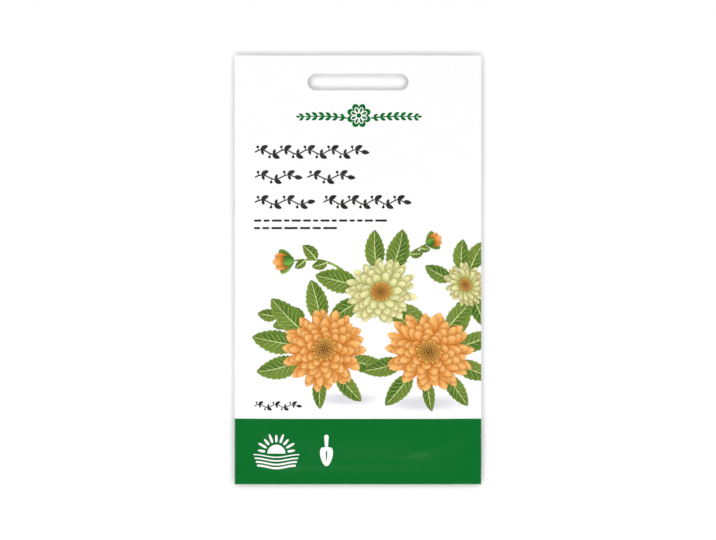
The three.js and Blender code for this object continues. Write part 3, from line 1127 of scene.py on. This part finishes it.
def growSpray(art, spray, draw):  # a bent stem with leaves, and a bud at its end
    start, end = np.array(spray["start"]), np.array(spray["end"])
    aside = np.array([end[1] - start[1], start[0] - end[0]]) * spray["sag"]
    stem = [start * (1 - s) + end * s + aside * math.sin(math.pi * s) for s in np.linspace(0, 1, 14)]
    art.add("stem", Stroke(stem, *picture["stem"]), draw.random())

    def heading(i):
        ahead = stem[i] - stem[i - 1]
        return math.atan2(ahead[1], ahead[0])
    for share, side, length in spray["leaves"]:
        i = round(share * (len(stem) - 1))
        growLeaf(art, tuple(stem[i]), heading(i) + side * 0.85, length, length * 0.6, -side * 0.4, draw)
    if spray["bud"]:
        growBud(art, tuple(stem[-1]), heading(-1), spray["bud"], draw)


def drawPicture():
    draw = random.Random(41)
    bends = [foldX + share * (halfWidth - foldX) for share in picture["bends"]]
    art = Artwork(frontSkin, spacing=picture["spacing"], breaks=bends)
    for at, radius in picture["shades"]:
        art.add("shadow", Disc(at, radius, 60, flat=0.2), 0.5)
    for spray in picture["sprays"]:
        growSpray(art, spray, draw)
    for bloom in picture["blooms"]:
        growCollar(art, bloom, draw)
    for bloom in picture["blooms"]:
        growBloom(art, bloom, draw)
    return art


def shadedPrint(finish, tone, power, depth):  # darker beside the shapes that cover it
    shade = finish.attribute("shade") ** power * depth
    tone = finish.tinted(tone, finish.mix(shade, picture["plain"], picture["dusk"]))
    return finish.surface(Base_Color=tone, Roughness=stock["roughness"], Specular_IOR_Level=stock["specular"],
                          Normal=paperTooth(finish, 0.5))


petalLook = {"stops": (0.2, 0.62, 1.0), "streaks": 0.55, "rim": 0.22, "light": 0.3, "vary": 0.16}
leafLook = {"mottle": (0.32, 0.7), "half": 0.34, "rim": 0.35, "vary": 0.2}


def petalFinish(name, root, middle, tip, streak):
    finish = newFinish(name)
    along, across, seed = (finish.attribute(label) for label in ("along", "across", "seed"))
    base = finish.ramp(along, *zip(petalLook["stops"], (root, middle, tip)))
    strand = finish.noise(3.2, 3.0, finish.vector(across * 2.6 + seed * 31, along * 1.1, seed * 7))
    lines = strand.ramped(0.5, 0.72) * (1 - along * 0.5)
    base = finish.mix(lines * petalLook["streaks"], base, streak)
    rim = abs(across).ramped(0.55, 1.0)
    base = finish.mix(rim * petalLook["rim"], base, streak)
    light = (1 - abs(across - 0.25)).ramped(0.2, 1.0) * along.ramped(0.3, 0.9)
    base = finish.mix(light * petalLook["light"], base, picture["glow"])
    base = finish.mix(seed * petalLook["vary"], base, streak)
    return shadedPrint(finish, base, power=1.6, depth=0.8)


def leafFinish(name, main, pale, deep):
    finish = newFinish(name)
    along, across, seed = (finish.attribute(label) for label in ("along", "across", "seed"))
    spread = finish.vector(across * 0.5 + seed * 23, along * 1.6, seed)
    base = finish.mix(finish.noise(5.0, 4.0, spread).ramped(*leafLook["mottle"]), main, deep)
    half = across.ramped(-0.06, 0.06)  # one half of a leaf catches more light
    base = finish.mix(half * leafLook["half"] + seed * leafLook["vary"], base, pale)
    rim = abs(across).ramped(0.72, 1.0)
    base = finish.mix(rim * leafLook["rim"], base, pale)
    return shadedPrint(finish, base, power=1.4, depth=0.85)


def fadeFinish():  # a soft shadow printed on the ground under the flowers
    finish = newFinish("soft_shadow")
    cover = 1 - finish.attribute("along").ramped(0.25, 0.98)
    tone = finish.mix(cover * 0.55, stock["white"], picture["shadow"])
    return finish.surface(Base_Color=tone, Roughness=stock["roughness"], Specular_IOR_Level=stock["specular"])


# the adhesive, the sachet and its seeds
adhesive = {
    "clear": 0.003, "step": 1.25, "ragged": 0.35, "colour": colour("#e9e4d4"), "deep": colour("#d8d0ba"),
}


def headerUnder(x, y):
    return rimHeight - glue + 0 * x


def gluePatch(name, node, under, material, marks=()):
    low, high = nodeBox(node)
    rows = stations(adhesive["step"], low.y, high.y)
    draw = random.Random(len(name))
    ragged = np.array([draw.uniform(-adhesive["ragged"], adhesive["ragged"]) for y in rows])

    def place(x, y):
        z = under(x, y)
        return (x, y, z + glue - adhesive["clear"]), (x, y, z + adhesive["clear"])
    faces = patch(stations(adhesive["step"], low.x, *marks, high.x), rows, place)
    for face in faces:
        face[:, 0, 0] -= ragged
        face[:, -1, 0] += ragged
    piece = addObject(name, *sewn([faces], bothFaces))
    if node == "glue_header":
        punchSlot(piece)
    return dress(warped(piece), material, "adhesive", node)


def adhesiveFinish():
    finish = newFinish("dried_adhesive")
    bubbles = finish.noise(1500.0, 4.0).ramped(0.45, 0.7)
    ribs = finish.noise(300.0, 2.0)
    return finish.surface(
        Base_Color=finish.mix(bubbles, adhesive["colour"], adhesive["deep"]), Roughness=0.25 + bubbles * 0.35,
        Normal=finish.bump(bubbles * 0.6 + ribs, 0.00003))


sachet = {
    "thickness": 0.08, "drop": 1.66, "rise": 1.18,
    "chamber": {"left": (-27, -19), "right": (27, 19), "bottom": (-63, -51.5), "top": (8, -1)},
    "crimpPitch": 2.0, "crimp": 0.035, "sealStarts": (0.2, 0.8), "sealEnds": (6.0, 5.0), "crinkle": 0.05,
    "foil": colour("#dcdde0"), "foilShade": colour("#c3c5c9"),
}


def crimped(x, y):  # ribs pressed into the seals, across their length
    fromSide, fromEnd = np.minimum(x - filmLow.x, filmHigh.x - x), np.minimum(y - filmLow.y, filmHigh.y - y)
    aside = np.minimum(fromSide, fromEnd)
    along = np.where(fromEnd < fromSide, y, x)
    seal = ease(aside, *sachet["sealStarts"]) * ease(aside, *sachet["sealEnds"])
    return sachet["crimp"] * np.sin(2 * np.pi * along / sachet["crimpPitch"]) * seal


def crinkled(x, y, rise):
    folds = np.abs(np.sin(x / 3.1 + 1.4 * np.sin(y / 5.3)) * np.cos(y / 4.1 + 1.1 * np.sin(x / 6.7)))
    return sachet["crinkle"] * folds * rise * (1 - rise) * 4


def filmFinish():
    finish = newFinish("sachet_foil")
    cells = {"Vector": finish.place(), "Scale": 190.0}
    creases = finish.node("ShaderNodeTexVoronoi", {"feature": "DISTANCE_TO_EDGE"}, cells).ramped(0.0, 0.12)
    cloud = finish.noise(240.0, 4.0)
    return finish.surface(
        Base_Color=finish.mix(cloud, sachet["foil"], sachet["foilShade"]), Metallic=1.0,
        Roughness=0.3 + cloud * 0.2, Normal=finish.bump(creases * 0.5 + cloud * 0.5, 0.0002))


def makeFilm(node, side, material):  # side 1 is the film towards the front
    def place(x, y):
        rise = hill(x, y, sachet["chamber"])
        swell = sachet["rise"] * rise if side > 0 else -sachet["drop"] * rise
        base = sealPlane + swell + crimped(x, y) + crinkled(x, y, rise) * (-1 if side > 0 else 1)
        return (x, y, base + side * sachet["thickness"]), (x, y, base)
    columns = stations(packet["grid"], filmLow.x, filmHigh.x)[::side]
    rows = stations(packet["grid"], filmLow.y, filmHigh.y)
    name = node.replace("film", "foil")
    piece = addObject(name, *sewn([patch(columns, rows, place)], bothFaces), sharpAngle=60)
    return dress(warped(piece), material, "foil", node)


kernel = {
    "sides": 20, "rings": 18, "taper": 0.45, "groove": 0.06, "grooveAt": 0.86, "grooveWidth": 0.06,
    "skin": colour("#ead9ab"), "shade": colour("#cfb57c"), "tip": colour("#a9864e"), "rim": colour("#f2e6c2"),
}


def seedFinish():
    finish = newFinish("seed_skin")
    along = finish.attribute("along")
    stretched = {"Vector": finish.place(), "Scale": (900.0, 900.0, 2500.0)}
    fibre = finish.noise(2.0, 4.0, finish.node("ShaderNodeMapping", inputs=stretched))
    base = finish.mix(fibre, kernel["skin"], kernel["shade"])
    base = finish.mix(1 - along.ramped(0.0, 0.14), base, kernel["tip"])
    base = finish.mix(finish.attribute("rim").ramped(0.6, 1.0) * 0.6, base, kernel["rim"])
    return finish.surface(Base_Color=base, Roughness=0.38 + fibre * 0.2, Normal=finish.bump(fibre, 0.00004))


def makeSeed(node, material):
    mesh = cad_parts[node].data
    points = np.array([tuple(v.co) for v in mesh.vertices]) / mm
    middle = (points.max(0) + points.min(0)) / 2
    flat = points[:, :2] - middle[:2]
    ahead = np.linalg.eigh(flat.T @ flat)[1][:, 1]  # the seed's long way
    reach = flat @ ahead
    aside = flat @ np.array([-ahead[1], ahead[0]])
    front = np.abs(aside[reach > reach.max() * 0.5]).max()
    rear = np.abs(aside[reach < reach.min() * 0.5]).max()
    if front < rear:  # the blunt end leads
        ahead, reach, aside = -ahead, -reach, -aside
    centre = middle[:2] + ahead * (reach.max() + reach.min()) / 2
    length, width = reach.max() - reach.min(), aside.max() - aside.min()
    thick = points[:, 2].max() - points[:, 2].min()
    vertices, along, rim, faces = [], [], [], []
    sides, rings = kernel["sides"], kernel["rings"]
    for j in range(rings + 1):
        turn = math.pi * j / rings
        u = -math.cos(turn)
        fat = max(math.sin(turn), 0.0) * (1 + kernel["taper"] * u * 0.5) / (1 + kernel["taper"] * 0.25)
        for i in range(1 if j in (0, rings) else sides):
            a = 2 * math.pi * i / sides
            edge = abs(math.cos(a))
            v = fat * math.cos(a)
            groove = kernel["groove"] * math.exp(-((edge - kernel["grooveAt"]) / kernel["grooveWidth"]) ** 2)
            w = fat * math.sin(a) * (1 - groove)
            spot = centre + ahead * (u * length / 2) + np.array([-ahead[1], ahead[0]]) * (v * width / 2)
            vertices.append((*spot, middle[2] + w * thick / 2))
            along.append((u + 1) / 2)
            rim.append(edge)
    start = [0] + [1 + i * sides for i in range(rings - 1)] + [1 + (rings - 1) * sides]
    for i in range(sides):
        k = (i + 1) % sides
        faces.append((0, start[1] + k, start[1] + i))
        faces.append((start[rings], start[rings - 1] + i, start[rings - 1] + k))
        for j in range(1, rings - 1):
            faces.append((start[j] + i, start[j] + k, start[j + 1] + k, start[j + 1] + i))
    piece = addObject(node.replace("seed", "kernel"), vertices, faces, sharpAngle=80)
    setNumbers(piece, "along", along)
    setNumbers(piece, "rim", rim)
    return dress(warped(piece), material, "seed_coat", node)


# everything that is printed, with its finish and its material slot
pictureInks = {  # a petal's root, middle, tip and streaks, or a leaf's main, pale and deep tone
    "orange": (petalFinish, "orange_petal", "#c9641c", "#e8953c", "#f2b66a", "#d67a29"),
    "pale": (petalFinish, "pale_petal", "#a3b450", "#d9df98", "#ebecb8", "#93ab4b"),
    "leaf": (leafFinish, "leaf_print", "#6a9a2f", "#a2c25a", "#467b31"),
    "vein": (leafFinish, "vein_print", "#b4d07c", "#c5dc92", "#8fb85a"),
    "stem": (leafFinish, "stem_print", "#6f9f3a", "#a5c768", "#4c8435"),
    "sepal": (leafFinish, "sepal_print", "#568f33", "#8fbb55", "#3f7d34"),
    "heart": (petalFinish, "heart_print", "#6d3d14", "#a25f1d", "#c98528", "#7d4a18"),
    "floret": (petalFinish, "floret_print", "#d9932c", "#eeb445", "#f7d071", "#c47c24"),
}
finishes = {
    "dark": (printFinish("dark_print", stock["dark"], stock["grey"]), "dark_ink"),
    "green": (printFinish("green_ornament", stock["green"], stock["deepGreen"], 0.25), "green_ink"),
}
for group, (makeFinish, name, *codes) in pictureInks.items():
    finishes[group] = (makeFinish(name, *map(colour, codes)), "picture_ink")
finishes["shadow"] = (fadeFinish(), "picture_ink")
finishes["white"] = (printFinish("bare_white", stock["white"], stock["shadowed"]), "paper")

drawFront().build("front_print", finishes)
drawPicture().build("front_picture", finishes, shaded=True)
drawBandMarks().build("band_mark", finishes)
back = drawBack()
back.build("back_print", finishes)
numbers, numberFaces = printNumbers()
plain = {(c, 0): (0.5, 0.0, 0.5, 0.0) for c in range(len(numbers))}
dress(back.film("back_numbers", numbers, numberFaces, plain), finishes["dark"][0], "dark_ink")

# what is inside
glueFinish, foilFinish, skinFinish = adhesiveFinish(), filmFinish(), seedFinish()
gluePatch("header_adhesive", "glue_header", headerUnder, glueFinish, packet["gridAcross"])
gluePatch("side_seam_adhesive", "glue_side_seam", backInner, glueFinish)
gluePatch("bottom_flap_adhesive", "glue_bottom_flap", bottomFlapInner, glueFinish)
makeFilm("sachet_front_film", 1, foilFinish)
makeFilm("sachet_back_film", -1, foilFinish)
for node in seeds:
    makeSeed(node, skinFinish)
print("sachet:", len(seeds), "seeds")


# floor, light and camera
studio = {
    "floorReach": 3.0, "floorHeight": -0.00003, "floor": colour("#f1f1f1"), "floorCloud": colour("#efefef"),
    "cameraHeight": 0.7417, "sight": 0.002, "lens": 100.0, "sensor": 36.0,  # cameraHeight starts at sight
    "lampSpot": (-0.12, -0.72, 0.8), "lampSize": (0.8, 0.4), "lampPower": 2.1,
    "room": (  # height and brightness: pale walls, a bright ring, and dark round the camera
        (0.0, 0.5), (0.12, 0.5), (0.2, 0.15), (0.56, 0.16),
        (0.66, 1.0), (0.81, 1.0), (0.88, 0.1), (0.95, 0.02)),
    "roomStrength": 2.5,
}

r, z = studio["floorReach"], studio["floorHeight"]
floor = addObject("floor", np.array([(-r, -r, z), (r, -r, z), (r, r, z), (-r, r, z)]) / mm, [(0, 1, 2, 3)])
floorFinish = newFinish("pale_floor")
floor.data.materials.append(floorFinish.surface(
    Base_Color=floorFinish.mix(floorFinish.noise(30.0, 3.0), studio["floor"], studio["floorCloud"]),
    Roughness=0.9, Specular_IOR_Level=0.0))

world = bpy.data.worlds.new("studio")
bpy.context.scene.world = world
sky = Finish(world)
direction = sky.node("ShaderNodeTexCoord", output="Generated")
height = sky.node("ShaderNodeSeparateXYZ", inputs={"Vector": direction}, output="Z")
light = sky.ramp(height, *[(at, (level, level, level, 1.0)) for at, level in studio["room"]])
background = sky.node("ShaderNodeBackground", inputs={"Color": light, "Strength": studio["roomStrength"]})
sky.node("ShaderNodeOutputWorld", inputs={"Surface": background})

lamp = bpy.data.lights.new("front_softbox", "AREA")
lamp.shape = "RECTANGLE"
lamp.size, lamp.size_y = studio["lampSize"]
lamp.energy = studio["lampPower"]
softbox = bpy.data.objects.new("front_softbox", lamp)
softbox.location = studio["lampSpot"]
softbox.rotation_euler = (-softbox.location).to_track_quat("-Z", "Y").to_euler()
bpy.context.scene.collection.objects.link(softbox)

camera = bpy.data.objects.new("camera", bpy.data.cameras.new("camera"))
camera.data.lens = studio["lens"]
camera.data.sensor_width = studio["sensor"]
camera.location = (0, 0, studio["sight"] + studio["cameraHeight"])
bpy.context.scene.collection.objects.link(camera)
bpy.context.scene.camera = camera
bpy.context.scene.view_settings.view_transform = "Standard"
bpy.context.scene.view_settings.look = "None"
